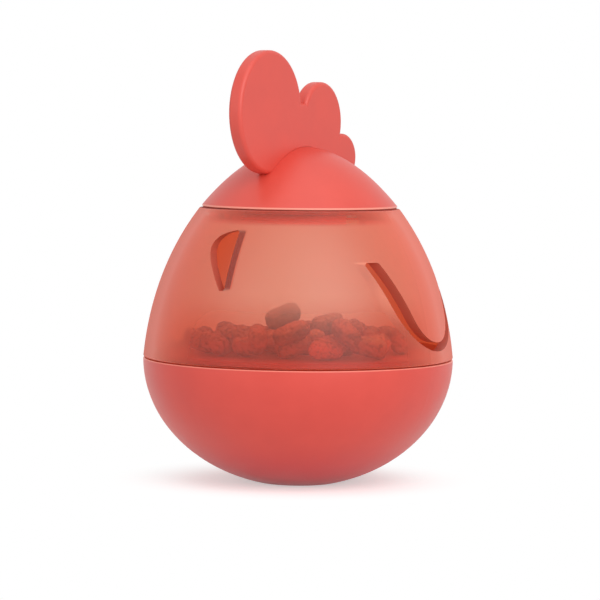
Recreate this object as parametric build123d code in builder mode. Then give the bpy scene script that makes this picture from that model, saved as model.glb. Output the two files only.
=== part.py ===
from build123d import *
import os
from math import acos, asin, atan, cos, degrees, hypot, pi, radians, sin, sqrt, tan

# A roly-poly treat dispenser shaped like a hen, in millimetres. The hen faces -Y, +Z is up and
# the origin is the middle of the foot. Azimuths are counted from the front (-Y) towards +X.

# Egg-shaped body
body_radius = 38.9
foot_radius = 10.0
bowl_height = 31.15
bowl_wall = 2.4
bowl_floor = 2.4
lower_seam_gap = 0.35
shell_height = 37.3
shell_wall = 2.4
shoulder_radius = 25.05
seam_lean = 5.6
shoulder_slope = 53.0
upper_seam_gap = 0.3
dome_inset = 0.25
dome_rise = 15.2
dome_wall = 2.2
rim_rounding = 0.3

# Clearances
fit_gap = 0.3
push_fit_gap = 0.15
screw_gap = 0.05
seat_gap = 0.05

# Seat of the window shell in the bowl
ledge_drop = 4.15
ledge_thickness = 2.4
ledge_width = 4.5
spigot_wall = 2.0
spigot_root_rise = 0.55
gasket_thickness = 0.8

# Chamber floor
chamber_floor_rise = 1.35
chamber_floor_thickness = 2.2
floor_skirt_wall = 2.0
floor_fillet = 0.6
hook_count = 4
hook_azimuth = 45.0
hook_width = 8.0
hook_thickness = 1.6
hook_barb = 1.2
hook_barb_height = 1.6

# Ballast in the bottom of the bowl
boss_count = 3
boss_azimuth = 90.0
boss_radius = 3.0
boss_height = 14.0
retainer_margin = 1.85
retainer_rim = 1.0
retainer_thickness = 2.0
retainer_bore_radius = 8.0
retainer_fillet = 0.5
ballast_boss_gap = 1.5

# Self-tapping pan-head screws, one size throughout
screw_radius = 1.3
screw_head_radius = 2.5
screw_head_height = 1.7
screw_length = 7.0
recess_width = 0.8
recess_length = 2.8
recess_depth = 0.9

# Pouring hole in the front of the shell, a half drop: straight on one side, bulging on the other
hole_drop = 4.6
hole_length = 14.6
hole_straight_x = 1.2
hole_bulge_x = -5.95
hole_bulge_drop = 4.6
hole_brow_drop = 0.9
hole_hip_drop = 6.6
hole_tip_x = -0.2
hole_corner = 0.7

# U-shaped slot round the wing on the hen's left side
wing_azimuth = 97.3
wing_rise = 3.0
wing_height = 22.2
wing_outer_radius = 16.4
wing_outer_lean = 17.0
wing_slot_width = 6.1
wing_bottom_width = 2.2
wing_inner_lean = 22.0
wing_corner_share = 0.15

# Neck, bayonet and seal
neck_depth = 2.3
seal_rim_wall = 0.7
seal_seat_width = 1.7
seal_seat_depth = 0.9
seal_gap = 0.1
seal_top_gap = 0.15
lug_count = 3
lug_arc = 14.0
lug_depth = 1.8
lug_margin = 0.1
lug_slot_azimuth = 71.5
lid_twist = 25.0

# Lid collar
collar_overhang = 1.2
collar_wall = 2.1
collar_plate_drop = 1.1
collar_plug_rise = 1.5
collar_plug_gap = 0.65
collar_rounding = 0.5
lid_boss_count = 3
lid_boss_radius = 3.2
lid_boss_rim = 1.4
lid_boss_azimuth = 30.0

# Comb: three round lobes in one flat plate that stands in the YZ plane
comb_thickness = 3.8
comb_rounding = 1.0
front_lobe_y = -15.9
front_lobe_rise = 8.5
front_lobe_half_width = 13.8
front_lobe_half_height = 15.2
middle_lobe_y = 7.6
middle_lobe_rise = 5.9
middle_lobe_half_width = 9.0
middle_lobe_half_height = 10.2
rear_lobe_y = 17.7
rear_lobe_drop = 3.0
rear_lobe_radius = 6.1
notch_rise = 10.7
peg_width = 3.4
peg_length = 6.4
peg_pad_radius = 4.8
peg_pad_depth = 7.7
front_peg_y = -8.0
rear_peg_y = 9.0

# Treats heaped on the chamber floor
treat_count = 33
treat_radius = 2.65
treat_length = 8.8
treat_rounding = 1.9
treat_gap = 0.2
treat_ball_inset = 0.6
heap_slope = 0.03
heap_trials = 300
heap_turn = 5.1
treat_tilt = 22.0
treat_tilt_step = 2.8
# Place, turn and tilt of each treat on top of the heap
crown_treats = [
    (11.8, -21.7, 48.0, 22.0),
    (5.6, -26.5, 125.0, 10.0),
    (23.5, -14.9, -25.0, -25.0),
    (8.7, -0.3, 60.0, 8.0),
    (-5.1, 0.7, 18.0, 24.0),
]

# Bowl, ledge and ballast, from the sizes above
bowl_depth = bowl_height / sqrt(1 - (foot_radius / body_radius) ** 2)
bowl_bore = body_radius - bowl_wall
lining_depth = bowl_depth - bowl_wall
ledge_height = bowl_height - ledge_drop
ledge_radius = bowl_bore - ledge_width
boss_seat_radius = bowl_bore * sqrt(1 - ((bowl_height - boss_height) / lining_depth) ** 2)
retainer_radius = boss_seat_radius - retainer_margin
boss_circle_radius = retainer_radius - retainer_rim - boss_radius
ballast_radius = boss_circle_radius - boss_radius - ballast_boss_gap

# Window shell and chamber floor
shell_bottom = bowl_height + lower_seam_gap
shoulder_height = shell_bottom + shell_height
spigot_radius = bowl_bore - push_fit_gap
spigot_bore = spigot_radius - spigot_wall
spigot_bottom = ledge_height + gasket_thickness + fit_gap
spigot_root_height = shell_bottom + spigot_root_rise
chamber_floor_height = bowl_height + chamber_floor_rise
floor_radius = spigot_bore - fit_gap
floor_bottom = chamber_floor_height - chamber_floor_thickness
hole_top = shoulder_height - hole_drop
hole_bottom = hole_top - hole_length
wing_bottom = shell_bottom + wing_rise
wing_top = wing_bottom + wing_height
wing_inner_radius = wing_outer_radius - wing_slot_width

# Neck, seal and lugs
seal_seat_radius = shoulder_radius - seal_rim_wall
seal_seat_height = shoulder_height - seal_seat_depth
seal_bottom = seal_seat_height + seat_gap
seal_thickness = seal_seat_depth + upper_seam_gap - seat_gap - seal_top_gap
neck_radius = seal_seat_radius - seal_seat_width
neck_bottom = shoulder_height - neck_depth
lug_bottom = neck_bottom + lug_margin
lug_top = seal_seat_height - lug_margin
lug_tip_radius = neck_radius - lug_depth
lug_azimuth = lug_slot_azimuth + lid_twist
gap_arc = degrees(fit_gap / lug_tip_radius)

# Dome and collar
dome_bottom = shoulder_height + upper_seam_gap
dome_height = dome_bottom + dome_rise
dome_rim_radius = shoulder_radius - dome_inset
rim_angle = atan(2 * dome_rise / dome_rim_radius)
dome_rim_bore = dome_rim_radius - dome_wall / sin(rim_angle)
collar_radius = neck_radius - fit_gap
collar_bottom = neck_bottom - collar_overhang
collar_plate_bottom = dome_bottom - collar_plate_drop
collar_plug_height = dome_bottom + collar_plug_rise
dome_plug_bore = dome_rim_bore * sqrt(1 - collar_plug_rise / (dome_rise - dome_wall))
collar_plug_radius = dome_plug_bore - collar_plug_gap
lid_boss_circle_radius = collar_plug_radius - lid_boss_rim - lid_boss_radius

# Comb
peg_pad_height = dome_height - peg_pad_depth
front_lobe_height = dome_height + front_lobe_rise
middle_lobe_height = dome_height + middle_lobe_rise
rear_lobe_height = dome_height - rear_lobe_drop
notch_height = dome_height + notch_rise

# Turn between neighbours that spreads points evenly over a circle, and a length past any wall
golden_turn = pi * (3 - sqrt(5))
reach = 2 * body_radius


def side_plane(azimuth):
    """Vertical plane through the middle axis that faces outwards at an azimuth."""
    turn = radians(azimuth)
    return Plane(origin=(0, 0, 0), x_dir=(cos(turn), sin(turn), 0), z_dir=(sin(turn), -cos(turn), 0))


def radial_plane(azimuth):
    """Vertical half plane whose own x axis points outwards at an azimuth."""
    return side_plane(azimuth - 90)


def polar_angles(count, azimuth):
    """Azimuths of equally spaced copies, starting at the given one."""
    return [azimuth + 360 * copy / count for copy in range(count)]


def polar_points(radius, count, azimuth):
    """Points on a circle about the middle axis, starting at the given azimuth."""
    turns = [radians(angle) for angle in polar_angles(count, azimuth)]
    return [(radius * sin(turn), -radius * cos(turn)) for turn in turns]


def swell_point(foot, crown):
    """Corner of the two end tangents of the shell's profile, which leans in as it rises."""
    lean = tan(radians(seam_lean))
    slope = 1 / tan(radians(shoulder_slope))
    height = (crown.X - foot.X + crown.Y * slope - foot.Y * lean) / (slope - lean)
    return Vector(foot.X - (height - foot.Y) * lean, height)


def shell_profile(foot, crown):
    """Control points of the shell's profile between its foot and its crown."""
    return [foot, swell_point(foot, crown), crown]


def dome_profile(radius, height):
    """Control points of the dome's profile, a parabola with its vertex on the middle axis."""
    return [(0, height), (radius / 2, height), (radius, dome_bottom)]


def wing_corners(radius, lean, bottom):
    """Where a wing outline's round bottom meets its side, and where the side meets its flat top."""
    slant = radians(lean)
    knee = Vector(radius * cos(slant), bottom + radius - radius * sin(slant))
    tip = Vector(knee.X + (wing_top - knee.Y) * tan(slant), wing_top)
    return knee, tip


def chamber_radius(height):
    """Inside radius that treats can use at a height, with the shell on or on its way off."""
    foot, swell, crown = shell_profile(inner_foot, inner_crown)
    bend = foot.Y - 2 * swell.Y + crown.Y
    rise = swell.Y - foot.Y
    share = (sqrt(rise**2 + bend * (height - foot.Y)) - rise) / bend
    radius = (1 - share) ** 2 * foot.X + 2 * share * (1 - share) * swell.X + share**2 * crown.X
    return min(radius, spigot_bore) - fit_gap


def treat_axis(index):
    """Long axis of a treat, turned a little further for each one, or as listed for those on top."""
    yaw, tilt = golden_turn * index, radians(treat_tilt) * sin(treat_tilt_step * index)
    if index >= treat_count:
        yaw, tilt = (radians(angle) for angle in crown_treats[index - treat_count][2:])
    return Vector(cos(tilt) * cos(yaw), cos(tilt) * sin(yaw), sin(tilt))


def drop_points(index, heap_radius):
    """Points that a treat may fall at: spread over the floor, or one point for those on top."""
    if index >= treat_count:
        return [crown_treats[index - treat_count][:2]]
    points = []
    for trial in range(heap_trials):
        spread = sqrt((trial + 0.5) / heap_trials) * heap_radius
        turn = golden_turn * trial + heap_turn * index
        points.append((spread * cos(turn), spread * sin(turn)))
    return points


def heap_places():
    """Planes of the treats' middles, each one where it lies lowest on those before it."""
    ball_radius = hypot(treat_ball_inset, treat_radius - treat_rounding) + treat_rounding
    ball_offset = treat_length / 2 - treat_rounding - treat_ball_inset
    clear = 2 * ball_radius + treat_gap
    balls, places = [], []
    for index in range(treat_count + len(crown_treats)):
        axis = treat_axis(index)
        ends = [axis * (ball_offset * side) for side in (-1, 0, 1)]
        best = None
        for x, y in drop_points(index, floor_radius - ball_radius):
            height = chamber_floor_height + treat_gap + ball_radius + max(end.Z for end in ends)
            for end in ends:
                for ball in balls:
                    apart = hypot(x + end.X - ball.X, y + end.Y - ball.Y)
                    if apart < clear:
                        height = max(height, ball.Z + sqrt(clear**2 - apart**2) - end.Z)
            room = chamber_radius(height + ball_radius + ball_offset) - ball_radius
            if max(hypot(x + end.X, y + end.Y) for end in ends) > room:
                continue
            cost = height + heap_slope * hypot(x, y)
            if best is None or cost < best[0]:
                best = (cost, Vector(x, y, height))
        if best is None:
            continue
        balls += [best[1] + end for end in ends]
        places.append(Plane(origin=best[1], z_dir=axis))
    return places


def make_screws(points, seat, side):
    """Pan-head screws whose heads seat at a height, driven up (side 1) or down (side -1)."""
    with BuildPart() as screws:
        with BuildSketch(Plane.XY.offset(seat)):
            with Locations(*points):
                Circle(screw_radius)
        extrude(amount=side * screw_length)
        with BuildSketch(Plane.XY.offset(seat)):
            with Locations(*points):
                Circle(screw_head_radius)
        extrude(amount=-side * screw_head_height)
        with BuildSketch(Plane.XY.offset(seat - side * screw_head_height)):
            with Locations(*points):
                Rectangle(recess_length, recess_width)
                Rectangle(recess_width, recess_length)
        extrude(amount=side * recess_depth, mode=Mode.SUBTRACT)
    return screws.part


os.makedirs("parts", exist_ok=True)

ballast_points = polar_points(boss_circle_radius, boss_count, boss_azimuth)
lid_boss_points = polar_points(lid_boss_circle_radius, lid_boss_count, lid_boss_azimuth)
peg_points = [(0, front_peg_y), (0, rear_peg_y)]

# Bowl cavity, with the ballast bosses left standing in it
floor_angle = degrees(asin((bowl_height - bowl_floor) / lining_depth))
with BuildPart() as bowl_cavity:
    with BuildSketch(Plane.XZ):
        with BuildLine():
            lining = EllipticalCenterArc(
                (0, bowl_height), bowl_bore, lining_depth, start_angle=-floor_angle, arc_size=floor_angle
            )
            Polyline(lining @ 1, (0, bowl_height), (0, bowl_floor), lining @ 0)
        make_face()
        with BuildLine():
            Polyline(
                (ledge_radius, ledge_height - ledge_thickness),
                (body_radius, ledge_height - ledge_thickness),
                (body_radius, ledge_height),
                (ledge_radius, ledge_height),
                close=True,
            )
        make_face(mode=Mode.SUBTRACT)
        with BuildLine():
            Polyline(
                (0, ledge_height),
                (bowl_bore, ledge_height),
                (bowl_bore, bowl_height),
                (0, bowl_height),
                close=True,
            )
        make_face()
    revolve(axis=Axis.Z)
    with BuildSketch(Plane.XY):
        with Locations(*ballast_points):
            Circle(boss_radius)
    extrude(amount=boss_height, mode=Mode.SUBTRACT)

# Base bowl: round-bottomed, with a small flat foot
foot_angle = degrees(acos(foot_radius / body_radius))
with BuildPart() as base_bowl:
    with BuildSketch(Plane.XZ):
        with BuildLine():
            skin = EllipticalCenterArc(
                (0, bowl_height), body_radius, bowl_depth, start_angle=-foot_angle, arc_size=foot_angle
            )
            Polyline(skin @ 1, (0, bowl_height), (0, 0), skin @ 0)
        make_face()
    revolve(axis=Axis.Z)
    add(bowl_cavity.part, mode=Mode.SUBTRACT)
    with BuildSketch(Plane.XY.offset(boss_height)):
        with Locations(*ballast_points):
            Circle(screw_radius + screw_gap)
    extrude(amount=-(screw_length - retainer_thickness + fit_gap), mode=Mode.SUBTRACT)
    rim_edges = base_bowl.edges().filter_by(GeomType.CIRCLE).group_by(Axis.Z)[-1]
    fillet(rim_edges.sort_by(SortBy.RADIUS)[-1], rim_rounding)
base_bowl.part.label = "base_bowl"
export_step(base_bowl.part, "parts/base_bowl.step")

# Ballast: a steel slug that follows the bowl's inside
slug_bore = bowl_bore - fit_gap
slug_depth = lining_depth - fit_gap
slug_floor_angle = degrees(asin((bowl_height - bowl_floor) / slug_depth))
slug_side_angle = degrees(acos(ballast_radius / slug_bore))
with BuildPart() as ballast_weight:
    with BuildSketch(Plane.XZ):
        with BuildLine():
            underside = EllipticalCenterArc(
                (0, bowl_height),
                slug_bore,
                slug_depth,
                start_angle=-slug_floor_angle,
                arc_size=slug_floor_angle - slug_side_angle,
            )
            Polyline(
                underside @ 1, (ballast_radius, boss_height), (0, boss_height), (0, bowl_floor), underside @ 0
            )
        make_face()
    revolve(axis=Axis.Z)
ballast_weight.part.label = "ballast_weight"
export_step(ballast_weight.part, "parts/ballast_weight.step")

# Ballast retainer: a washer-like plate over the slug and the bosses
with BuildPart() as ballast_retainer:
    with BuildSketch(Plane.XY.offset(boss_height)):
        Circle(retainer_radius)
        Circle(retainer_bore_radius, mode=Mode.SUBTRACT)
        with Locations(*ballast_points):
            Circle(screw_radius + fit_gap, mode=Mode.SUBTRACT)
    extrude(amount=retainer_thickness)
    fillet(ballast_retainer.faces().sort_by(Axis.Z)[-1].outer_wire().edges(), retainer_fillet)
ballast_retainer.part.label = "ballast_retainer"
export_step(ballast_retainer.part, "parts/ballast_retainer.step")

ballast_screws = make_screws(ballast_points, boss_height + retainer_thickness, -1)
ballast_screws.label = "ballast_screws"
export_step(ballast_screws, "parts/ballast_screws.step")

# Gasket on the bowl's ledge, under the chamber floor and the shell's spigot
gasket_bore = floor_radius - floor_skirt_wall
with BuildPart() as base_gasket:
    with BuildSketch(Plane.XY.offset(ledge_height)):
        Circle(spigot_radius)
        Circle(gasket_bore, mode=Mode.SUBTRACT)
    extrude(amount=gasket_thickness)
base_gasket.part.label = "base_gasket"
export_step(base_gasket.part, "parts/base_gasket.step")

# Chamber floor: a plate on a skirt, held by hooks that snap under the ledge
skirt_bottom = ledge_height + gasket_thickness
hook_outer = ledge_radius - fit_gap
hook_inner = hook_outer - hook_thickness
barb_top = ledge_height - ledge_thickness - fit_gap
barb_bottom = barb_top - hook_barb_height
hook_half_arc = degrees(asin(hook_width / 2 / hook_outer))
with BuildPart() as chamber_floor:
    with BuildSketch(Plane.XZ):
        with BuildLine():
            Polyline(
                (0, floor_bottom),
                (gasket_bore, floor_bottom),
                (gasket_bore, skirt_bottom),
                (floor_radius, skirt_bottom),
                (floor_radius, chamber_floor_height),
                (0, chamber_floor_height),
                close=True,
            )
        make_face()
    revolve(axis=Axis.Z)
    fillet(chamber_floor.faces().sort_by(Axis.Z)[-1].edges(), floor_fillet)
    for azimuth in polar_angles(hook_count, hook_azimuth):
        with BuildSketch(radial_plane(azimuth - hook_half_arc)):
            with BuildLine():
                Polyline(
                    (hook_inner, floor_bottom),
                    (hook_inner, barb_bottom),
                    (hook_outer, barb_bottom),
                    (hook_outer + fit_gap + hook_barb, barb_top),
                    (hook_outer, barb_top),
                    (hook_outer, floor_bottom),
                    close=True,
                )
            make_face()
        revolve(axis=Axis.Z, revolution_arc=2 * hook_half_arc)
chamber_floor.part.label = "chamber_floor"
export_step(chamber_floor.part, "parts/chamber_floor.step")

# Window shell: see-through, with a spigot at its foot and a bayonet neck at its crown
outer_foot = Vector(body_radius, shell_bottom)
outer_crown = Vector(shoulder_radius, shoulder_height)
inner_foot = Vector(bowl_bore, shell_bottom)
inner_crown = Vector(
    shoulder_radius - shell_wall * sin(radians(shoulder_slope)),
    shoulder_height - shell_wall * cos(radians(shoulder_slope)),
)
mid_wall = shell_wall / 2
root_top = spigot_root_height + bowl_bore - spigot_bore
neck_root_radius = inner_crown.X + (inner_crown.Y - neck_bottom) / tan(radians(shoulder_slope))
with BuildPart() as window_shell:
    with BuildSketch(Plane.XZ):
        with BuildLine():
            Bezier(*shell_profile(outer_foot, outer_crown))
            Polyline(outer_crown, (0, shoulder_height), (0, shell_bottom), outer_foot)
        make_face()
        with BuildLine():
            Bezier(*shell_profile(inner_foot, inner_crown))
            Polyline(inner_crown, (0, inner_crown.Y), (0, shell_bottom), inner_foot)
        make_face(mode=Mode.SUBTRACT)
        with BuildLine():
            Polyline(
                (neck_radius, neck_bottom),
                (neck_root_radius + mid_wall, neck_bottom),
                (inner_crown.X + mid_wall, inner_crown.Y),
                (neck_radius, inner_crown.Y),
                close=True,
            )
        make_face()
        with BuildLine():
            Polyline(
                (0, inner_crown.Y),
                (neck_radius, inner_crown.Y),
                (neck_radius, seal_seat_height),
                (seal_seat_radius, seal_seat_height),
                (seal_seat_radius, shoulder_height),
                (0, shoulder_height),
                close=True,
            )
        make_face(mode=Mode.SUBTRACT)
        with BuildLine():
            Polyline(
                (spigot_bore, spigot_bottom),
                (spigot_radius, spigot_bottom),
                (spigot_radius, shell_bottom),
                (bowl_bore + mid_wall, shell_bottom),
                (bowl_bore + mid_wall, root_top),
                (bowl_bore, root_top),
                (spigot_bore, spigot_root_height),
                close=True,
            )
        make_face()
    revolve(axis=Axis.Z)
    rings = window_shell.edges().filter_by(GeomType.CIRCLE)
    fillet(rings.sort_by(SortBy.RADIUS)[-1], rim_rounding)
    rings = window_shell.edges().filter_by(GeomType.CIRCLE)
    fillet(rings.group_by(Axis.Z)[-1].sort_by(SortBy.RADIUS)[-1], rim_rounding)
    with BuildSketch(side_plane(0)) as pouring_hole:
        with BuildLine():
            Bezier(
                (hole_straight_x, hole_top),
                (hole_bulge_x, hole_top - hole_brow_drop),
                (hole_bulge_x, hole_top - hole_bulge_drop),
            )
            Bezier(
                (hole_bulge_x, hole_top - hole_bulge_drop),
                (hole_bulge_x, hole_top - hole_hip_drop),
                (hole_tip_x, hole_bottom),
            )
            Polyline((hole_tip_x, hole_bottom), (hole_straight_x, hole_bottom), (hole_straight_x, hole_top))
        make_face()
        fillet(pouring_hole.vertices().sort_by(Axis.X)[1:], hole_corner)
    extrude(amount=reach, mode=Mode.SUBTRACT)
    with BuildSketch(side_plane(wing_azimuth)) as wing_slot:
        for radius, lean, bottom, mode in (
            (wing_outer_radius, wing_outer_lean, wing_bottom, Mode.ADD),
            (wing_inner_radius, wing_inner_lean, wing_bottom + wing_bottom_width, Mode.SUBTRACT),
        ):
            knee, tip = wing_corners(radius, lean, bottom)
            with BuildLine():
                ThreePointArc((-knee.X, knee.Y), (0, bottom), knee)
                Polyline(knee, tip, (-tip.X, tip.Y), (-knee.X, knee.Y))
            make_face(mode=mode)
        fillet(wing_slot.vertices().group_by(Axis.Y)[-1], wing_corner_share * wing_slot_width)
    extrude(amount=reach, mode=Mode.SUBTRACT)
    for azimuth in polar_angles(lug_count, lug_azimuth):
        with BuildSketch(radial_plane(azimuth - lug_arc / 2)):
            with BuildLine():
                Polyline(
                    (lug_tip_radius, lug_bottom),
                    (neck_radius + mid_wall, lug_bottom),
                    (neck_radius + mid_wall, lug_top),
                    (lug_tip_radius, lug_top),
                    close=True,
                )
            make_face()
        revolve(axis=Axis.Z, revolution_arc=lug_arc)
window_shell.part.label = "window_shell"
export_step(window_shell.part, "parts/window_shell.step")

# Seal: a soft ring in the neck's rebate
with BuildPart() as lid_seal:
    with BuildSketch(Plane.XY.offset(seal_bottom)):
        Circle(seal_seat_radius - seal_gap)
        Circle(neck_radius + seal_gap, mode=Mode.SUBTRACT)
    extrude(amount=seal_thickness)
lid_seal.part.label = "lid_seal"
export_step(lid_seal.part, "parts/lid_seal.step")

# Lid collar: a plate with a skirt, in whose L-shaped slots the neck's lugs run
collar_bore = collar_radius - collar_wall
slot_half_arc = lug_arc / 2 + gap_arc
with BuildPart() as lid_collar:
    with BuildSketch(Plane.XZ):
        with BuildLine():
            Polyline(
                (0, collar_plate_bottom),
                (collar_bore, collar_plate_bottom),
                (collar_bore, collar_bottom),
                (collar_radius, collar_bottom),
                (collar_radius, dome_bottom),
                (collar_plug_radius, dome_bottom),
                (collar_plug_radius, collar_plug_height),
                (0, collar_plug_height),
                close=True,
            )
        make_face()
    revolve(axis=Axis.Z)
    fillet(lid_collar.edges().group_by(Axis.Z)[0], collar_rounding)
    for azimuth in polar_angles(lug_count, lug_slot_azimuth):
        with BuildSketch(radial_plane(azimuth - slot_half_arc)):
            with BuildLine():
                Polyline(
                    (collar_bore - fit_gap, collar_bottom - fit_gap),
                    (neck_radius, collar_bottom - fit_gap),
                    (neck_radius, lug_top + fit_gap),
                    (collar_bore - fit_gap, lug_top + fit_gap),
                    close=True,
                )
            make_face()
        revolve(axis=Axis.Z, revolution_arc=2 * slot_half_arc, mode=Mode.SUBTRACT)
        with BuildSketch(radial_plane(azimuth - slot_half_arc)):
            with BuildLine():
                Polyline(
                    (collar_bore - fit_gap, lug_bottom - fit_gap),
                    (neck_radius, lug_bottom - fit_gap),
                    (neck_radius, lug_top + fit_gap),
                    (collar_bore - fit_gap, lug_top + fit_gap),
                    close=True,
                )
            make_face()
        revolve(axis=Axis.Z, revolution_arc=2 * slot_half_arc + lid_twist, mode=Mode.SUBTRACT)
    with BuildSketch(Plane.XY.offset(collar_plate_bottom)):
        with Locations(*lid_boss_points):
            Circle(screw_radius + fit_gap)
    extrude(amount=collar_plug_height - collar_plate_bottom, mode=Mode.SUBTRACT)
lid_collar.part.label = "lid_collar"
export_step(lid_collar.part, "parts/lid_collar.step")

collar_screws = make_screws(lid_boss_points, collar_plate_bottom, 1)
collar_screws.label = "collar_screws"
export_step(collar_screws, "parts/collar_screws.step")

# Dome cavity, with the collar's bosses and the comb's pads left standing in it
with BuildPart() as dome_cavity:
    with BuildSketch(Plane.XZ):
        with BuildLine():
            vault = Bezier(*dome_profile(dome_rim_bore, dome_height - dome_wall))
            Polyline(vault @ 1, (0, dome_bottom), vault @ 0)
        make_face()
    revolve(axis=Axis.Z)
    with BuildSketch(Plane.XY.offset(collar_plug_height)):
        with Locations(*lid_boss_points):
            Circle(lid_boss_radius)
    extrude(amount=dome_height, mode=Mode.SUBTRACT)
    with BuildSketch(Plane.XY.offset(peg_pad_height)):
        with Locations(*peg_points):
            Circle(peg_pad_radius)
    extrude(amount=dome_height, mode=Mode.SUBTRACT)

# Lid dome
with BuildPart() as lid_dome:
    with BuildSketch(Plane.XZ):
        with BuildLine():
            crown = Bezier(*dome_profile(dome_rim_radius, dome_height))
            Polyline(crown @ 1, (0, dome_bottom), crown @ 0)
        make_face()
    revolve(axis=Axis.Z)
    fillet(lid_dome.edges().filter_by(GeomType.CIRCLE), rim_rounding)
    add(dome_cavity.part, mode=Mode.SUBTRACT)
    with BuildSketch(Plane.XY.offset(peg_pad_height)):
        with Locations(*peg_points):
            Rectangle(peg_width + 2 * push_fit_gap, peg_length + 2 * push_fit_gap)
    extrude(amount=dome_height, mode=Mode.SUBTRACT)
    with BuildSketch(Plane.XY.offset(collar_plug_height)):
        with Locations(*lid_boss_points):
            Circle(screw_radius + screw_gap)
    extrude(amount=screw_length + fit_gap - collar_plug_height + collar_plate_bottom, mode=Mode.SUBTRACT)
lid_dome.part.label = "lid_dome"
export_step(lid_dome.part, "parts/lid_dome.step")

# Comb seat: the dome's outside, a little raised, as a cutter
with BuildPart() as comb_seat:
    with BuildSketch(Plane.XZ):
        with BuildLine():
            seat = Bezier(*dome_profile(dome_rim_radius + seat_gap, dome_height + seat_gap))
            Polyline(seat @ 1, (0, dome_bottom), seat @ 0)
        make_face()
    revolve(axis=Axis.Z)

# Comb: a flat plate with three lobes, on two pegs that go down through the dome
with BuildPart() as comb:
    with BuildSketch(Plane.YZ):
        with Locations((front_lobe_y, front_lobe_height)):
            Ellipse(front_lobe_half_width, front_lobe_half_height)
        with Locations((middle_lobe_y, middle_lobe_height)):
            Ellipse(middle_lobe_half_width, middle_lobe_half_height)
        with Locations((rear_lobe_y, rear_lobe_height)):
            Circle(rear_lobe_radius)
        with BuildLine():
            Polyline(
                (front_lobe_y, peg_pad_height),
                (front_lobe_y, notch_height),
                (middle_lobe_y, notch_height),
                (rear_lobe_y, rear_lobe_height),
                (rear_lobe_y, peg_pad_height),
                close=True,
            )
        make_face()
    extrude(amount=comb_thickness / 2, both=True)
    sides = comb.faces().filter_by(Axis.X)
    fillet(sides.edges(), comb_rounding)
    add(comb_seat.part, mode=Mode.SUBTRACT)
    with BuildSketch(Plane.XY.offset(peg_pad_height + fit_gap)):
        with Locations(*peg_points):
            Rectangle(peg_width, peg_length)
    extrude(amount=dome_height - peg_pad_height)
    with BuildSketch(Plane.XY.offset(peg_pad_height)):
        with Locations(*peg_points):
            Circle(screw_radius + screw_gap)
    extrude(amount=screw_length + fit_gap, mode=Mode.SUBTRACT)
comb.part.label = "comb"
export_step(comb.part, "parts/comb.step")

comb_screws = make_screws(peg_points, peg_pad_height, 1)
comb_screws.label = "comb_screws"
export_step(comb_screws, "parts/comb_screws.step")

# Treats: short rounded pellets, dropped one by one where they come to lie lowest
with BuildPart() as treat:
    Cylinder(treat_radius, treat_length)
    fillet(treat.edges().filter_by(GeomType.CIRCLE), treat_rounding)
with BuildPart() as treats:
    with Locations(*heap_places()):
        add(treat.part)
treats.part.label = "treats"
export_step(treats.part, "parts/treats.step")
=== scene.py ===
"""Looks of a roly-poly treat dispenser shaped like a hen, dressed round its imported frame.

The hen faces -Y, +Z is up and the origin is the middle of the foot. Sizes are in metres.
"""

import logging
import math
from dataclasses import dataclass
from enum import Enum
from typing import Dict, List, Optional, Sequence, Tuple, Union

import bmesh
import bpy
from mathutils import Matrix, Vector, noise


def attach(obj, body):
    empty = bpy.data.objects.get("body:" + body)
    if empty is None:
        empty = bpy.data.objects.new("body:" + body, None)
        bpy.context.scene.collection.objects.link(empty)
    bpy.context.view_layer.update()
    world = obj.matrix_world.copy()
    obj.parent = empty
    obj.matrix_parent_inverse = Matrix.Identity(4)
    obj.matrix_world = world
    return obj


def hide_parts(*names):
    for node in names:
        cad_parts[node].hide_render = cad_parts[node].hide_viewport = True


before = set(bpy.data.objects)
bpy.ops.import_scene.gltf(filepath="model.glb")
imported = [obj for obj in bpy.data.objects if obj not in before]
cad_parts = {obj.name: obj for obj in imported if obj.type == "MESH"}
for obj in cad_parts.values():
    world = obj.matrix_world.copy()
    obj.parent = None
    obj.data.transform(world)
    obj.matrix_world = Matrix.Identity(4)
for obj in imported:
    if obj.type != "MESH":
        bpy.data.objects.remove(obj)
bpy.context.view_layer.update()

log = logging.getLogger("treat_dispenser")

Colour = Tuple[float, float, float]
Span = Tuple[float, float]
Number = Union["Wire", float]
Plug = Union["Wire", float, Sequence[float]]
Owner = Union[bpy.types.Material, bpy.types.World]

WHITE: Colour = (1.0, 1.0, 1.0)


# Shader writing


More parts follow.
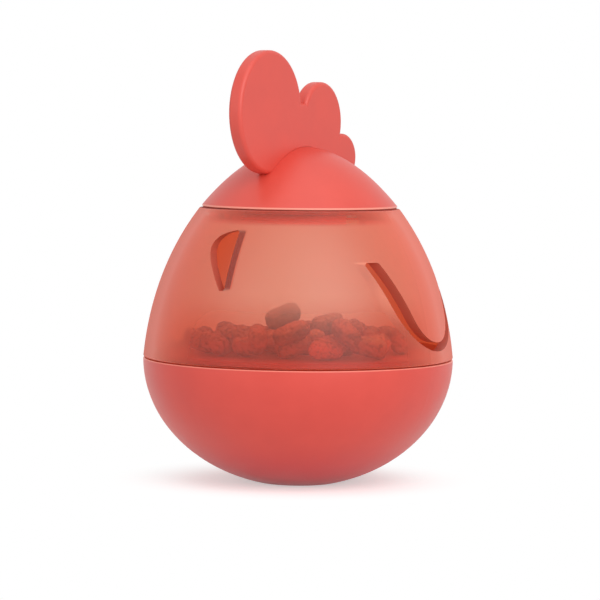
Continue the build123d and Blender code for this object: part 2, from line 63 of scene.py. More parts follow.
class Wire:
    """A node's output that shader maths can be written with as a Python expression."""

    def __init__(self, paint: "Paint", socket: bpy.types.NodeSocket) -> None:
        """Keep the socket and the paint that it is part of."""
        self.paint = paint
        self.socket = socket

    def maths(self, operation: str, *values: Number) -> "Wire":
        """Add a Math node.

        Args:
            operation: The Math node's operation.
            values: Its inputs, in order.

        Returns:
            The node's result.
        """
        return self.paint.add("ShaderNodeMath", {"operation": operation}, dict(enumerate(values)))

    def __add__(self, other: Number) -> "Wire":
        """Sum."""
        return self.maths("ADD", self, other)

    __radd__ = __add__

    def __sub__(self, other: Number) -> "Wire":
        """Difference."""
        return self.maths("SUBTRACT", self, other)

    def __rsub__(self, other: Number) -> "Wire":
        """Difference, the other way round."""
        return self.maths("SUBTRACT", other, self)

    def __mul__(self, other: Number) -> "Wire":
        """Product."""
        return self.maths("MULTIPLY", self, other)

    __rmul__ = __mul__

    def __pow__(self, other: Number) -> "Wire":
        """Power."""
        return self.maths("POWER", self, other)

    def __abs__(self) -> "Wire":
        """Value without its sign."""
        return self.maths("ABSOLUTE", self)

    def least(self, other: Number) -> "Wire":
        """The smaller of two values."""
        return self.maths("MINIMUM", self, other)

    def most(self, other: Number) -> "Wire":
        """The larger of two values."""
        return self.maths("MAXIMUM", self, other)

    def step(self, low: float, high: float) -> "Wire":
        """A smooth step from 0 at the low value to 1 at the high one."""
        sockets = {"Value": self, "From Min": low, "From Max": high}
        return self.paint.add("ShaderNodeMapRange", {"interpolation_type": "SMOOTHSTEP"}, sockets)

    def within(self, span: Span, soft: float) -> "Wire":
        """1 inside a span and 0 outside it.

        Args:
            span: The lowest and highest value inside.
            soft: Half the width of the smooth steps at its ends.

        Returns:
            The mask.
        """
        low, high = span
        return self.step(low - soft, low + soft) * (1.0 - self.step(high - soft, high + soft))


class Paint:
    """The nodes of a material or of the surroundings. One method adds any node."""

    def __init__(self, owner: Owner) -> None:
        """Start with no nodes.

        Args:
            owner: The material or the world to paint.
        """
        self.owner = owner
        owner.use_nodes = True
        self.tree = owner.node_tree
        self.tree.nodes.clear()

    def feed(self, socket: bpy.types.NodeSocket, value: Plug) -> None:
        """Give a socket a link or a value of its own.

        Args:
            socket: The input to fill.
            value: A wire to link, a number, or a colour or vector.
        """
        if isinstance(value, Wire):
            self.tree.links.new(value.socket, socket)
        elif isinstance(value, (int, float)):
            socket.default_value = value
        else:
            numbers = list(value)
            if socket.type == "RGBA" and len(numbers) == 3:
                numbers.append(1.0)
            socket.default_value = numbers

    def add(
        self,
        kind: str,
        settings: Optional[Dict[str, object]] = None,
        sockets: Optional[Dict[Union[str, int], Plug]] = None,
        output: Union[str, int] = 0,
    ) -> Wire:
        """Add a node.

        Args:
            kind: The node's type.
            settings: Its settings, such as an operation.
            sockets: Values or links of its inputs, by name or place.
            output: Which output to return.

        Returns:
            The chosen output.
        """
        node = self.tree.nodes.new(kind)
        for key, value in (settings or {}).items():
            setattr(node, key, value)
        for key, value in (sockets or {}).items():
            self.feed(node.inputs[key], value)
        return Wire(self, node.outputs[output])

    def place(self) -> Wire:
        """The point on the object, in its own coordinates."""
        return self.add("ShaderNodeTexCoord", output="Object")

    def along(self, axis: str, vector: Optional[Wire] = None) -> Wire:
        """One part of a vector.

        Args:
            axis: X, Y or Z.
            vector: The vector. Left out, it is the point on the object.

        Returns:
            The part.
        """
        return self.add("ShaderNodeSeparateXYZ", sockets={0: vector or self.place()}, output=axis)

    def noise(self, size: float, detail: float = 2.0, roughness: float = 0.5) -> Wire:
        """Noise whose features are about as large as the given size.

        Args:
            size: Size of a feature in metres.
            detail: How many finer layers it has.
            roughness: How strong the finer layers are.

        Returns:
            The noise, round 0.5.
        """
        values = {"Vector": self.place(), "Scale": 1 / size, "Detail": detail, "Roughness": roughness}
        return self.add("ShaderNodeTexNoise", sockets=values)

    def blend(self, share: Number, first: Plug, second: Plug) -> Wire:
        """A colour between two others.

        Args:
            share: How much of the second colour there is.
            first: The colour at share 0.
            second: The colour at share 1.

        Returns:
            The blended colour.
        """
        return self.add("ShaderNodeMix", {"data_type": "RGBA"}, {0: share, 6: first, 7: second}, 2)

    def bump(self, height: Wire, depth: float) -> Wire:
        """A normal that follows a height.

        Args:
            height: The height, from 0 to 1.
            depth: The full height in metres.

        Returns:
            The normal.
        """
        return self.add("ShaderNodeBump", sockets={"Height": height, "Distance": depth, "Strength": 1.0})

    def layer(self, share: Number, under: Wire, over: Wire) -> Wire:
        """One shader partly over another.

        Args:
            share: How much of the upper shader shows.
            under: The lower shader.
            over: The upper shader.

        Returns:
            The mixed shader.
        """
        return self.add("ShaderNodeMixShader", sockets={0: share, 1: under, 2: over})

    def seen(self) -> Wire:
        """Tell the rays that reach the camera from the rays that only light something.

        Returns:
            1 on rays seen straight, in a shine or through a clear piece, and 0 on the rest.
        """
        kinds = ("Is Camera Ray", "Is Glossy Ray", "Is Transmission Ray")
        straight, mirrored, through = (self.add("ShaderNodeLightPath", output=kind) for kind in kinds)
        return straight.most(mirrored).most(through)

    def finish(self, surface: Wire) -> Owner:
        """Link a shader to the output.

        Args:
            surface: The shader to show.

        Returns:
            The painted material or world.
        """
        kind = "World" if isinstance(self.owner, bpy.types.World) else "Material"
        self.feed(self.tree.nodes.new(f"ShaderNodeOutput{kind}").inputs["Surface"], surface)
        return self.owner


# Finishes


@dataclass(frozen=True)
class SatinPlastic:
    """Opaque moulded plastic with a fine spark-eroded grain."""

    name: str
    colour: Colour
    deep_colour: Colour
    roughness: float = 0.42
    shine: float = 0.62
    mottle_size: float = 0.012
    mottle_span: Span = (0.3, 0.7)
    mottle_roughness: float = 0.05
    grain_size: float = 0.00035
    grain_depth: float = 0.000004
    grain_roughness: float = 0.10
    flow_size: float = 0.03
    flow_depth: float = 0.00002
    # A painted highlight: the colour lightens to this in a thin band along a rim.
    rim_highlight_colour: Colour = (1.0, 0.36, 0.27)
    rim_highlight: Optional[Span] = None
    # Painted shade: the colour deepens towards the foot, up to the height below.
    foot_shade_colour: Colour = (0.66, 0.022, 0.026)
    foot_shade_height: float = 0.0

    def make(self) -> bpy.types.Material:
        """Build the material.

        Returns:
            The finished material.
        """
        paint = Paint(bpy.data.materials.new(self.name))
        mottle = paint.noise(self.mottle_size, 3.0, 0.55).step(*self.mottle_span)
        grain = paint.noise(self.grain_size, 2.0, 0.6)
        flow = paint.noise(self.flow_size, 1.0)
        height = flow * (self.flow_depth / self.grain_depth) + grain
        unevenness = self.grain_roughness * (grain - 0.5) + self.mottle_roughness * (mottle - 0.5)
        surface = paint.add(
            "ShaderNodeBsdfPrincipled",
            sockets={
                "Base Color": self.tint(paint, paint.blend(mottle, self.deep_colour, self.colour)),
                "Roughness": self.roughness + unevenness,
                "Specular IOR Level": self.shine,
                "Normal": paint.bump(height, self.grain_depth),
            },
        )
        return paint.finish(surface)

    def tint(self, paint: Paint, colour: Wire) -> Wire:
        """Deepen a colour towards the foot as painted shade and lighten it along a thin rim as a painted
        highlight.

        Args:
            paint: The material's paint.
            colour: The plain colour.

        Returns:
            The tinted colour.
        """
        # Painted shade, darker towards the foot.
        if self.foot_shade_height:
            foot = 1.0 - paint.along("Z").step(0.0, self.foot_shade_height)
            colour = paint.blend(foot, colour, self.foot_shade_colour)
        # Painted highlight along a rim, between two levels.
        if self.rim_highlight:
            low, high = self.rim_highlight
            rim_highlight = paint.along("Z").within(self.rim_highlight, (high - low) / 4)
            colour = paint.blend(rim_highlight, colour, self.rim_highlight_colour)
        return colour


@dataclass(frozen=True)
class ShellMasks:
    """What the point on the shell belongs to, each from 0 to 1."""

    cut: Wire
    inner: Wire
    back: Wire
    straight: Wire
    wing: Wire
    raised: Wire
    painted_sheen: Wire


@dataclass(frozen=True)
class FrostedPlastic:
    """See-through moulded plastic with a frosted skin, deeper in colour on its cut faces, and a pale band of
    painted sheen across its middle.

    The names with clear are shares that let the light straight through, and those with glow
    are shares that scatter it through. Levels and sides are in the shell's own coordinates.
    """

    name: str
    skin: Colour = (0.90, 0.165, 0.090)
    # Pale skin colour painted in a band across the middle, as painted sheen and light from behind.
    painted_sheen: Colour = (0.98, 0.42, 0.29)
    lining: Colour = (0.74, 0.072, 0.032)
    # The slot's cut face seen from behind is painted like the lit skin round it: paler above the sheen band's
    # foot as painted light, darker below it as painted shade.
    inlay_painted_light: Colour = (0.90, 0.30, 0.20)
    inlay_painted_shade: Colour = (0.42, 0.085, 0.05)
    edge: Colour = (0.57, 0.125, 0.082)
    glow: Colour = (0.90, 0.15, 0.06)
    clear: Colour = (0.98, 0.90, 0.82)
    clear_edge: Colour = (0.24, 0.015, 0.006)
    skin_clear: float = 0.77
    painted_sheen_clear: float = 0.56
    lining_clear: float = 0.25
    edge_clear: float = 0.12
    skin_glow: float = 0.25
    lining_glow: float = 0.55
    edge_glow: float = 0.15
    cut_span: Span = (0.42, 0.62)
    inner_span: Span = (-0.05, 0.05)
    skin_facing: Span = (0.30, 0.86)
    lining_fall: float = 7.0
    painted_sheen_foot: Span = (0.038, 0.050)
    painted_sheen_crown: Span = (0.0650, 0.0672)
    painted_sheen_facing: Span = (0.35, 0.95)
    hole_sides: Span = (0.0002, 0.0030)
    hole_ends: Span = (0.0502, 0.0639)
    hole_soft: float = 0.0006
    wing_side: Span = (0.012, 0.018)
    grain_size: float = 0.00045
    grain_depth: float = 0.000005
    dull_roughness: float = 0.6
    dull_grain: float = 0.1
    gloss_roughness: float = 0.42
    gloss_grain: float = 0.08
    index: float = 1.40
    sheen_most: float = 0.15

    def make(self) -> bpy.types.Material:
        """Build the material.

        Returns:
            The finished material.
        """
        paint = Paint(bpy.data.materials.new(self.name))
        masks = self.find_masks(paint)
        grain = paint.noise(self.grain_size, 2.0, 0.6)
        bump = paint.bump(grain, self.grain_depth)
        body = paint.add(
            "ShaderNodeBsdfPrincipled",
            sockets={
                "Base Color": self.mix_colour(paint, masks),
                "Roughness": self.dull_roughness + self.dull_grain * (grain - 0.5),
                "Specular IOR Level": 0.0,
                "Normal": bump,
            },
        )
        gloss = paint.add(
            "ShaderNodeBsdfGlossy",
            sockets={
                "Color": WHITE,
                "Roughness": self.gloss_roughness + self.gloss_grain * (grain - 0.5),
                "Normal": bump,
            },
        )
        glow = paint.add("ShaderNodeBsdfTranslucent", sockets={"Color": self.glow})
        clear = paint.layer(
            masks.cut,
            paint.add("ShaderNodeBsdfTransparent", sockets={"Color": self.clear}),
            paint.add("ShaderNodeBsdfTransparent", sockets={"Color": self.clear_edge}),
        )
        veil = paint.layer(self.glow_share(masks), body, glow)
        surface = paint.layer(self.clear_share(masks), veil, clear)
        sheen = paint.add("ShaderNodeFresnel", sockets={"IOR": self.index}).least(self.sheen_most)
        return paint.finish(paint.layer(sheen * (1.0 - masks.back), surface, gloss))

    def find_masks(self, paint: Paint) -> ShellMasks:
        """Tell cut faces, lining, the painted sheen band and wing side apart.

        Args:
            paint: The material's paint.

        Returns:
            The masks.
        """
        place = paint.place()
        normal = paint.add("ShaderNodeNewGeometry", output="True Normal")
        flat = paint.add("ShaderNodeVectorMath", {"operation": "MULTIPLY"}, {0: place, 1: (1.0, 1.0, 0.0)})
        outwards = paint.add("ShaderNodeVectorMath", {"operation": "NORMALIZE"}, {0: flat})
        dot = {0: normal, 1: outwards}
        towards = paint.add("ShaderNodeVectorMath", {"operation": "DOT_PRODUCT"}, dot, "Value")
        back = paint.add("ShaderNodeNewGeometry", output="Backfacing")
        straight = 1.0 - paint.add("ShaderNodeLayerWeight", sockets={"Blend": 0.5}, output="Facing")
        across, level = paint.along("X", place), paint.along("Z", place)
        wing = across.step(*self.wing_side)
        raised = level.step(*self.painted_sheen_foot)
        hole = across.within(self.hole_sides, self.hole_soft) * level.within(self.hole_ends, self.hole_soft)
        # Painted sheen: a pale band between two levels, fading where the skin turns away and left off round
        # the front hole except on the wing side.
        painted_sheen = raised * (1.0 - level.step(*self.painted_sheen_crown))
        painted_sheen = painted_sheen * straight.step(*self.painted_sheen_facing) * (1.0 - hole * (1.0 - wing))
        return ShellMasks(
            cut=1.0 - abs(towards).step(*self.cut_span),
            inner=1.0 - (towards * (1.0 - 2.0 * back)).step(*self.inner_span),
            back=back,
            straight=straight,
            wing=wing,
            raised=raised,
            painted_sheen=painted_sheen,
        )

    def mix_colour(self, paint: Paint, masks: ShellMasks) -> Wire:
        """Colour of the plastic's own body, with the painted sheen band in it.

        Args:
            paint: The material's paint.
            masks: What the point belongs to.

        Returns:
            The colour.
        """
        wall = paint.blend(masks.inner, paint.blend(masks.painted_sheen, self.skin, self.painted_sheen), self.lining)
        # The slot's cut face seen from behind: painted light above the sheen band's foot, painted shade below
        # it.
        inlay_painted_light = paint.blend(masks.raised, self.inlay_painted_shade, self.inlay_painted_light)
        return paint.blend(masks.cut, wall, paint.blend(masks.back * masks.wing, self.edge, inlay_painted_light))

    def glow_share(self, masks: ShellMasks) -> Wire:
        """How much of the body scatters the light through instead of back.

        Args:
            masks: What the point belongs to.

        Returns:
            The share.
        """
        wall = masks.inner * (self.lining_glow - self.skin_glow) + self.skin_glow
        return wall * (1.0 - masks.cut) + masks.cut * self.edge_glow

    def clear_share(self, masks: ShellMasks) -> Wire:
        """How much of the light goes straight through.

        A face that is seen from behind is clear, so that a wall tints only once. The slot's cut
        face isn't, or it would show through the skin as a band.

        Args:
            masks: What the point belongs to.

        Returns:
            The share.
        """
        skin = masks.straight.step(*self.skin_facing)
        skin = skin * (masks.painted_sheen * (self.painted_sheen_clear - self.skin_clear) + self.skin_clear)
        lining = masks.straight ** self.lining_fall * self.lining_clear
        share = skin * (1.0 - masks.inner) + lining * masks.inner
        share = share * (1.0 - masks.cut) + masks.cut * self.edge_clear
        return share * (1.0 - masks.back) + masks.back * (1.0 - masks.cut * masks.wing)


@dataclass(frozen=True)
class SoftRubber:
    """Dull elastic seal material with a lighter bloom."""

    name: str
    colour: Colour
    bloom_colour: Colour
    bloom_size: float = 0.002
    bloom_span: Span = (0.35, 0.75)
    bloom_depth: float = 0.00001
    bloom_roughness: float = 0.12
    roughness: float = 0.62

    def make(self) -> bpy.types.Material:
        """Build the material.

        Returns:
            The finished material.
        """
        paint = Paint(bpy.data.materials.new(self.name))
        bloom = paint.noise(self.bloom_size, 3.0, 0.6)
        surface = paint.add(
            "ShaderNodeBsdfPrincipled",
            sockets={
                "Base Color": paint.blend(bloom.step(*self.bloom_span), self.colour, self.bloom_colour),
                "Roughness": self.roughness + self.bloom_roughness * (bloom - 0.5),
                "Normal": paint.bump(bloom, self.bloom_depth),
            },
        )
        return paint.finish(surface)


@dataclass(frozen=True)
class BareSteel:
    """Turned or plated steel with fine rings round the middle axis."""

    name: str
    colour: Colour
    roughness: float
    ring_size: float
    ring_scale: float = 0.3
    ring_wobble: float = 0.6
    ring_depth: float = 0.000008
    stain_size: float = 0.006
    stain_span: Span = (0.3, 0.7)
    stain_shade: float = 0.8
    stain_roughness: float = 0.12

    def make(self) -> bpy.types.Material:
        """Build the material.

        Returns:
            The finished material.
        """
        paint = Paint(bpy.data.materials.new(self.name))
        rings = paint.add(
            "ShaderNodeTexWave",
            {"wave_type": "RINGS", "rings_direction": "Z"},
            {
                "Vector": paint.place(),
                "Scale": self.ring_scale / self.ring_size,
                "Distortion": self.ring_wobble,
                "Detail": 2.0,
            },
            "Fac",
        )
        stain = paint.noise(self.stain_size, 3.0, 0.6)
        stained = tuple(part * self.stain_shade for part in self.colour)
        surface = paint.add(
            "ShaderNodeBsdfPrincipled",
            sockets={
                "Base Color": paint.blend(stain.step(*self.stain_span), stained, self.colour),
                "Metallic": 1.0,
                "Roughness": self.roughness + self.stain_roughness * (stain - 0.5),
                "Normal": paint.bump(rings, self.ring_depth),
            },
        )
        return paint.finish(surface)


@dataclass(frozen=True)
class BakedDough:
    """Rough baked treat, toasted in patches, with painted shade in its pits, a painted highlight on its tops
    and painted red bounce light from the red floor low down.
    """

    name: str
    crumb: Colour = (0.62, 0.25, 0.135)
    crust: Colour = (0.15, 0.055, 0.032)
    # Colour of the painted shade in the pores.
    pit_shade_colour: Colour = (0.07, 0.022, 0.013)
    # Paler colour painted on upward faces as a painted highlight of the light from above.
    painted_top_light: Colour = (0.86, 0.39, 0.20)
    # Red painted on low down as painted bounce light from the red floor.
    bounce: Colour = (0.90, 0.12, 0.06)
    tone_share: float = 0.75
    patch_size: float = 0.0025
    patch_span: Span = (0.35, 0.65)
    pore_size: float = 0.0011
    pore_span: Span = (0.34, 0.52)
    pore_depth: float = 0.0005
    pit_shade_share: float = 0.5
    painted_top_light_share: float = 0.6
    painted_top_light_slope: float = 0.95
    bounce_share: float = 0.75
    bounce_levels: Span = (0.0352, 0.0396)
    toast_dulling: float = 0.6
    roughness: float = 0.86
    patch_gloss: float = 0.08
    shine: float = 0.3

    def make(self) -> bpy.types.Material:
        """Build the material.

        Returns:
            The finished material.
        """
        paint = Paint(bpy.data.materials.new(self.name))
        tone = paint.add("ShaderNodeAttribute", {"attribute_name": "tone"}, output="Fac")
        patches = paint.noise(self.patch_size, 2.0, 0.5).step(*self.patch_span)
        pores = paint.noise(self.pore_size, 4.0, 0.65)
        upwards = paint.along("Z", paint.add("ShaderNodeNewGeometry", output="Normal"))
        # Painted bounce light: treats low down are reddened, less so on darker ones.
        low = (1.0 - paint.along("Z").step(*self.bounce_levels)) * self.bounce_share
        toast = tone * self.tone_share + patches * (1.0 - self.tone_share)
        colour = paint.blend(toast, self.crumb, self.crust)
        colour = paint.blend(low * (1.0 - self.toast_dulling * tone), colour, self.bounce)
        # Painted highlight: faces turned up are lightened.
        painted_top_light = upwards.step(0.0, self.painted_top_light_slope) * (1.0 - low) * self.painted_top_light_share
        colour = paint.blend(painted_top_light, colour, self.painted_top_light)
        # Painted shade: the pores are darkened.
        pit_shade = 1.0 - pores.step(*self.pore_span)
        surface = paint.add(
            "ShaderNodeBsdfPrincipled",
            sockets={
                "Base Color": paint.blend(pit_shade * self.pit_shade_share, colour, self.pit_shade_colour),
                "Roughness": self.roughness - self.patch_gloss * patches,
                "Specular IOR Level": self.shine,
                "Normal": paint.bump(pores, self.pore_depth),
            },
        )
        return paint.finish(surface)


@dataclass(frozen=True)
class StudioWhite:
    """Matt white sweep that shows as plain white past the object and takes its shadow close by."""

    name: str
    colour: Colour = (0.74, 0.74, 0.74)
    lift: float = 0.47
    bright_ring: Span = (0.020, 0.050)

    def make(self) -> bpy.types.Material:
        """Build the material.

        Returns:
            The finished material.
        """
        paint = Paint(bpy.data.materials.new(self.name))
        seen = paint.seen()
        cloth = paint.add("ShaderNodeBsdfDiffuse", sockets={"Color": self.colour})
        glow = paint.add("ShaderNodeEmission", sockets={"Color": WHITE, "Strength": seen * self.lift})
        near = paint.add("ShaderNodeAddShader", sockets={0: cloth, 1: glow})
        away = paint.add("ShaderNodeVectorMath", {"operation": "LENGTH"}, {0: paint.place()}, "Value")
        white = paint.add("ShaderNodeEmission", sockets={"Color": WHITE, "Strength": 1.0})
        return paint.finish(paint.layer(seen * away.step(*self.bright_ring), near, white))


# Modelling helpers


def dress(names: Sequence[str], material: bpy.types.Material) -> None:
    """Give CAD nodes a finish.

    Args:
        names: The nodes' names.
        material: The finish.
    """
    for name in names:
        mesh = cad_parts[name].data
        mesh.materials.clear()
        mesh.materials.append(material)
        log.info("dressed %s in %s", name, material.name)


def deselect() -> None:
    """Leave nothing selected, in object mode."""
    if bpy.context.object and bpy.context.object.mode != "OBJECT":
        bpy.ops.object.mode_set(mode="OBJECT")
    bpy.ops.object.select_all(action="DESELECT")


def select(pieces: Sequence[bpy.types.Object]) -> None:
    """Select some objects alone and make the first one active.

    Args:
        pieces: The objects.
    """
    deselect()
    for piece in pieces:
        piece.select_set(True)
    bpy.context.view_layer.objects.active = pieces[0]


# Sub-assemblies


@dataclass
class Bowl:
    """Weighted base: the bowl with its ballast, retainer, screws and gasket."""

    shell: bpy.types.Material
    lining: bpy.types.Material
    slug: bpy.types.Material
    screws: bpy.types.Material
    gasket: bpy.types.Material

    def build(self) -> None:
        """Dress the base's nodes."""
        dress(["base_bowl"], self.shell)
        dress(["ballast_retainer"], self.lining)
        dress(["ballast_weight"], self.slug)
        dress(["ballast_screws"], self.screws)
        dress(["base_gasket"], self.gasket)


class Knead(Enum):
    """The ways a treat comes out of its mould."""

    PLAIN = 0
    WAISTED = 1
    BENT = 2
    BROKEN = 3


@dataclass
class TreatHeap:
    """Baked treats that lie where the frame's heap has them, settled on each other.

    The sizes from shoulder_inset to break_lift are shares of a treat's radius or half length,
    and the names with step are angles in radians from each treat to the next.
    """

    finish: bpy.types.Material
    length: float = 0.0092
    radius: float = 0.00278
    sides: int = 12
    rings: int = 4
    smoothing: int = 2
    shoulder_inset: float = 0.42
    crown_inset: float = 0.28
    end_from: float = 0.98
    end_dip: float = 0.16
    corner_from: float = 0.9
    corner_pinch: float = 0.80
    waist: float = 0.04
    deep_waist: float = 0.16
    bend: float = 0.22
    bend_middle: float = 0.5
    bent_flatness: float = 0.93
    break_from: float = 0.4
    break_slope: float = 0.16
    break_lift: float = 0.6
    lump_size: float = 0.0021
    lump_depth: float = 0.00026
    lump_sink: float = 0.15
    fine_lumps: float = 0.7
    fine_scale: float = 2.9
    shape_stride: int = 7
    roll_step: float = 2.4
    tone_step: float = 2.1
    tone_swing: float = 0.4
    swing_step: float = 1.3
    settle: float = 0.1
    drop: float = 0.0003
    dark_from: float = 0.0065
    end_reach: float = 2.2
    weld: float = 0.00001

    def find_islands(self, mesh: bmesh.types.BMesh) -> List[List[Vector]]:
        """Split a mesh into its separate solids.

        Args:
            mesh: The mesh.

        Returns:
            The points of each solid.
        """
        islands, seen = [], set()
        for start in mesh.verts:
            if start in seen:
                continue
            island, front = [], [start]
            seen.add(start)
            while front:
                point = front.pop()
                island.append(point.co.copy())
                for edge in point.link_edges:
                    other = edge.other_vert(point)
                    if other not in seen:
                        seen.add(other)
                        front.append(other)
            islands.append(island)
        return islands

    def find_places(self) -> List[Tuple[Vector, Vector]]:
        """Middle and long axis of each treat in the frame, read from a merged copy of the node.

        Returns:
            One pair of middle and unit axis for each treat.
        """
        mesh = bmesh.new()
        mesh.from_mesh(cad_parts["treats"].data)
        bmesh.ops.remove_doubles(mesh, verts=mesh.verts, dist=self.weld)
        places = []
        for island in self.find_islands(mesh):
            low = Vector(min(point[axis] for point in island) for axis in range(3))
            high = Vector(max(point[axis] for point in island) for axis in range(3))
            middle = (low + high) / 2
            far = max(island, key=lambda point: (point - middle).length)
            ring = [point for point in island if (point - far).length < self.radius * self.end_reach]
            tip = sum(ring, Vector()) / len(ring)
            places.append((middle, (tip - middle).normalized()))
        mesh.free()
        return places

    def mould(self, point: Vector, way: Knead) -> None:
        """Move a point of the plain bar to where the treat has it.

        Args:
            point: The point, with the bar along Z round the origin.
            way: How the treat came out of its mould.
        """
        half = self.length / 2
        reach = abs(point.z) / half
        spread = Vector((point.x, point.y)).length
        central = math.cos(reach * math.pi / 2)
        if reach > self.end_from:
            point.z *= 1.0 - self.end_dip * (spread / self.radius) ** 2
            if spread > self.radius * self.corner_from:
                point.x *= self.corner_pinch
                point.y *= self.corner_pinch
        narrow = 1.0 - (self.deep_waist if way is Knead.WAISTED else self.waist) * central ** 2
        point.x *= narrow
        point.y *= narrow * (self.bent_flatness if way is Knead.BENT else 1.0)
        if way is Knead.BENT:
            point.x += self.radius * self.bend * (central - self.bend_middle)
        if way is Knead.BROKEN and point.z > half * self.break_from:
            point.z -= (point.x / self.radius + self.break_lift) * half * self.break_slope

    def knead(self, way: Knead) -> bpy.types.Object:
        """Model one treat, lying along Z with its middle at the origin.

        Args:
            way: How it came out of its mould.

        Returns:
            The modelled treat.
        """
        deselect()
        bpy.ops.mesh.primitive_cylinder_add(
            vertices=self.sides, radius=self.radius, depth=self.length, end_fill_type="NGON"
        )
        treat = bpy.context.object
        treat.name = f"treat_shape_{way.value}"
        bpy.ops.object.mode_set(mode="EDIT")
        bpy.ops.mesh.select_all(action="DESELECT")
        mesh = bmesh.from_edit_mesh(treat.data)
        for edge in mesh.edges:
            edge.select = abs(edge.verts[0].co.z - edge.verts[1].co.z) > self.length / 2
        bmesh.update_edit_mesh(treat.data)
        bpy.ops.mesh.subdivide(number_cuts=self.rings)
        bpy.ops.mesh.select_all(action="DESELECT")
        mesh = bmesh.from_edit_mesh(treat.data)
        for face in mesh.faces:
            face.select = abs(face.normal.z) > 0.9
        bmesh.update_edit_mesh(treat.data)
        bpy.ops.mesh.inset(thickness=self.radius * self.shoulder_inset, depth=0.0)
        bpy.ops.mesh.inset(thickness=self.radius * self.crown_inset, depth=0.0)
        mesh = bmesh.from_edit_mesh(treat.data)
        for point in mesh.verts:
            self.mould(point.co, way)
        bmesh.update_edit_mesh(treat.data)
        bpy.ops.object.mode_set(mode="OBJECT")
        smooth = treat.modifiers.new("smooth", "SUBSURF")
        smooth.levels = smooth.render_levels = self.smoothing
        select([treat])
        bpy.ops.object.modifier_apply(modifier=smooth.name)
        return treat

    def lay(
        self, shape: bpy.types.Object, count: int, middle: Vector, axis: Vector, raised: float
    ) -> bpy.types.Object:
        """Put a copy of a treat in its place, with its own tone and lumps.

        Args:
            shape: The treat to copy.
            count: Which treat of the heap it is.
            middle: Its middle.
            axis: Its long axis.
            raised: How much higher than the lowest treat it lies. The higher, the darker.

        Returns:
            The laid treat.
        """
        treat = shape.copy()
        treat.data = shape.data.copy()
        bpy.context.scene.collection.objects.link(treat)
        turn = axis.to_track_quat("Z", "Y").to_matrix().to_4x4()
        roll = Matrix.Rotation(count * self.roll_step, 4, "Z")
        treat.data.transform(Matrix.Translation(middle) @ turn @ roll)
        swing = 1.0 - self.tone_swing + self.tone_swing * math.cos(count * self.swing_step)
        tone = 0.5 + 0.5 * math.sin(count * self.tone_step) * swing
        tone += (1.0 - tone) * min(1.0, raised / self.dark_from)
        tones = treat.data.attributes.new("tone", "FLOAT", "POINT")
        tones.data.foreach_set("value", [tone] * len(treat.data.vertices))
        for point in treat.data.vertices:
            place = point.co / self.lump_size
            lump = noise.noise(place) + self.fine_lumps * noise.noise(place * self.fine_scale)
            point.co += point.normal * (lump * self.lump_depth - self.lump_depth * self.lump_sink)
        return treat

    def build(self) -> bpy.types.Object:
        """Model the treats and lay one at each place of the heap.

        Returns:
            The heap, as one piece.
        """
        shapes = [self.knead(way) for way in Knead]
        places = self.find_places()
        lowest = min(middle.z for middle, axis in places)
        treats = []
        for count, (middle, axis) in enumerate(places):
            raised = middle.z - lowest
            middle.z -= self.drop + self.settle * raised
            shape = shapes[(count * self.shape_stride) % len(shapes)]
            treats.append(self.lay(shape, count, middle, axis, raised))
        for shape in shapes:
            bpy.data.objects.remove(shape)
        select(treats)
        bpy.ops.object.join()
        heap = bpy.context.object
        heap.name = heap.data.name = "baked_treats"
        bpy.ops.object.shade_smooth()
        heap.data.materials.clear()
        heap.data.materials.append(self.finish)
        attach(heap, "base")
        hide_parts("treats")
        log.info("modelled %s from %d treats", heap.name, len(treats))
        return heap


@dataclass
class Chamber:
    """Treat chamber: the opaque floor and the see-through shell."""

    floor: bpy.types.Material
    window: bpy.types.Material

    def build(self) -> None:
        """Dress the chamber's nodes."""
        dress(["chamber_floor"], self.floor)
        dress(["window_shell"], self.window)


@dataclass
class Lid:
    """Twist-off lid: seal, collar, dome, comb and their screws."""

    plastic: bpy.types.Material
    collar: bpy.types.Material
    seal: bpy.types.Material
    screws: bpy.types.Material

    def build(self) -> None:
        """Dress the lid's nodes."""
        dress(["lid_seal"], self.seal)
        dress(["lid_collar"], self.collar)
        dress(["lid_dome", "comb"], self.plastic)
        dress(["collar_screws", "comb_screws"], self.screws)


# Studio


@dataclass(frozen=True)
class Lamp:
    """A square soft lamp that faces the object.

    The azimuth is in degrees from the camera's side towards the right, the elevation in
    degrees above the horizon, and the power in watts.
    """

    name: str
    azimuth: float
    elevation: float
    distance: float
    size: float
    power: float


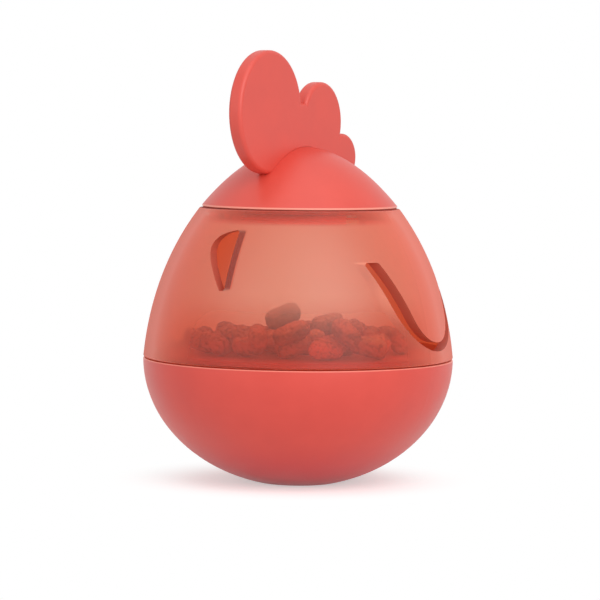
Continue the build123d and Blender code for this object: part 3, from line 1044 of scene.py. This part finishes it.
@dataclass
class Studio:
    """Plain white sweep, soft lamps and the camera."""

    sweep: bpy.types.Material
    sweep_size: float = 8.0
    azimuth: float = 33.0
    distance: float = 0.7771
    height: float = 0.0969
    pitch: float = 3.77
    roll: float = 0.62
    focal_pixels: float = 3099.7
    picture_pixels: float = 600.0
    axis_offset_pixels: float = 1.35
    sensor_width: float = 36.0
    ambient: float = 0.48
    aim_height: float = 0.05
    lamps: Tuple[Lamp, ...] = (
        Lamp("key_lamp", 30.0, 28.0, 0.9, 0.8, 4.6),
        Lamp("fill_lamp", -50.0, 18.0, 1.0, 0.8, 1.5),
        Lamp("top_lamp", 0.0, 78.0, 0.9, 0.9, 1.7),
    )

    def build_camera(self) -> None:
        """Place the camera where the photograph was taken from."""
        yaw = math.radians(self.azimuth) - math.atan(self.axis_offset_pixels / self.focal_pixels)
        pitch, roll = math.radians(self.pitch), math.radians(self.roll)
        turn = math.radians(self.azimuth)
        ahead = Vector((-math.sin(yaw) * math.cos(pitch), math.cos(yaw) * math.cos(pitch), -math.sin(pitch)))
        right = ahead.cross(Vector((0.0, 0.0, 1.0))).normalized()
        up = right.cross(ahead)
        across = right * math.cos(roll) + up * math.sin(roll)
        above = up * math.cos(roll) - right * math.sin(roll)
        lens = bpy.data.cameras.new("camera")
        lens.sensor_width = self.sensor_width
        lens.lens = self.sensor_width * self.focal_pixels / self.picture_pixels
        camera = bpy.data.objects.new("camera", lens)
        bpy.context.scene.collection.objects.link(camera)
        camera.matrix_world = Matrix(
            (
                (across.x, above.x, -ahead.x, math.sin(turn) * self.distance),
                (across.y, above.y, -ahead.y, -math.cos(turn) * self.distance),
                (across.z, above.z, -ahead.z, self.height),
                (0.0, 0.0, 0.0, 1.0),
            )
        )
        bpy.context.scene.camera = camera

    def build_lamp(self, lamp: Lamp) -> None:
        """Hang a lamp.

        Args:
            lamp: The lamp.
        """
        turn, rise = math.radians(self.azimuth + lamp.azimuth), math.radians(lamp.elevation)
        towards = Vector((math.sin(turn) * math.cos(rise), -math.cos(turn) * math.cos(rise), math.sin(rise)))
        light = bpy.data.lights.new(lamp.name, "AREA")
        light.shape = "SQUARE"
        light.size = lamp.size
        light.energy = lamp.power
        hung = bpy.data.objects.new(lamp.name, light)
        bpy.context.scene.collection.objects.link(hung)
        hung.location = towards * lamp.distance + Vector((0.0, 0.0, self.aim_height))
        hung.rotation_euler = towards.to_track_quat("Z", "Y").to_euler()

    def build_world(self) -> None:
        """Make the surroundings: white where they are seen, plain soft light elsewhere."""
        world = bpy.data.worlds.new("studio")
        paint = Paint(world)
        strength = paint.seen() * (1.0 - self.ambient) + self.ambient
        paint.finish(paint.add("ShaderNodeBackground", sockets={"Color": WHITE, "Strength": strength}))
        bpy.context.scene.world = world

    def build_sweep(self) -> None:
        """Lay the floor."""
        deselect()
        bpy.ops.mesh.primitive_plane_add(size=self.sweep_size, location=(0.0, 0.0, 0.0))
        floor = bpy.context.object
        floor.name = "studio_floor"
        floor.data.materials.append(self.sweep)

    def build(self) -> None:
        """Set the camera, the surroundings and the lamps."""
        self.build_camera()
        self.build_world()
        self.build_sweep()
        for lamp in self.lamps:
            self.build_lamp(lamp)
        bpy.context.scene.view_settings.view_transform = "Standard"


def main() -> None:
    """Build the studio and dress the dispenser from its base upwards."""
    coral, coral_deep = (0.735, 0.074, 0.050), (0.70, 0.066, 0.044)
    zinc = BareSteel("zinc_steel", (0.62, 0.62, 0.63), 0.30, 0.0003).make()
    rubber = SoftRubber("dark_red_seal", (0.50, 0.07, 0.05), (0.685, 0.1045, 0.0775)).make()
    Studio(StudioWhite("studio_white").make()).build()
    Bowl(
        # The bowl gets a painted highlight along its top rim and painted shade towards its foot.
        shell=SatinPlastic(
            "coral_bowl", (0.76, 0.070, 0.048), (0.725, 0.062, 0.042), rim_highlight=(0.0310, 0.0316), foot_shade_height=0.014
        ).make(),
        lining=SatinPlastic("grey_retainer", (0.20, 0.20, 0.21), (0.17, 0.17, 0.18), roughness=0.5).make(),
        slug=BareSteel("turned_steel", (0.45, 0.45, 0.46), 0.38, 0.0004).make(),
        screws=zinc,
        gasket=rubber,
    ).build()
    TreatHeap(BakedDough("baked_dough").make()).build()
    Chamber(
        floor=SatinPlastic("coral_floor", coral, coral_deep, roughness=0.48).make(),
        window=FrostedPlastic("frosted_coral").make(),
    ).build()
    Lid(
        # The lid gets a painted highlight along the dome's lower rim.
        plastic=SatinPlastic("coral_lid", coral, coral_deep, rim_highlight=(0.0688, 0.0696)).make(),
        # The collar is the lid's coral painted lighter, as painted light where it sits in shade under the
        # lid.
        collar=SatinPlastic("brightened_coral_collar", (0.96, 0.16, 0.10), (0.92, 0.14, 0.09)).make(),
        seal=rubber,
        screws=zinc,
    ).build()


if __name__ == "__main__":
    logging.basicConfig(level=logging.INFO, format="%(name)s: %(message)s")
    main()
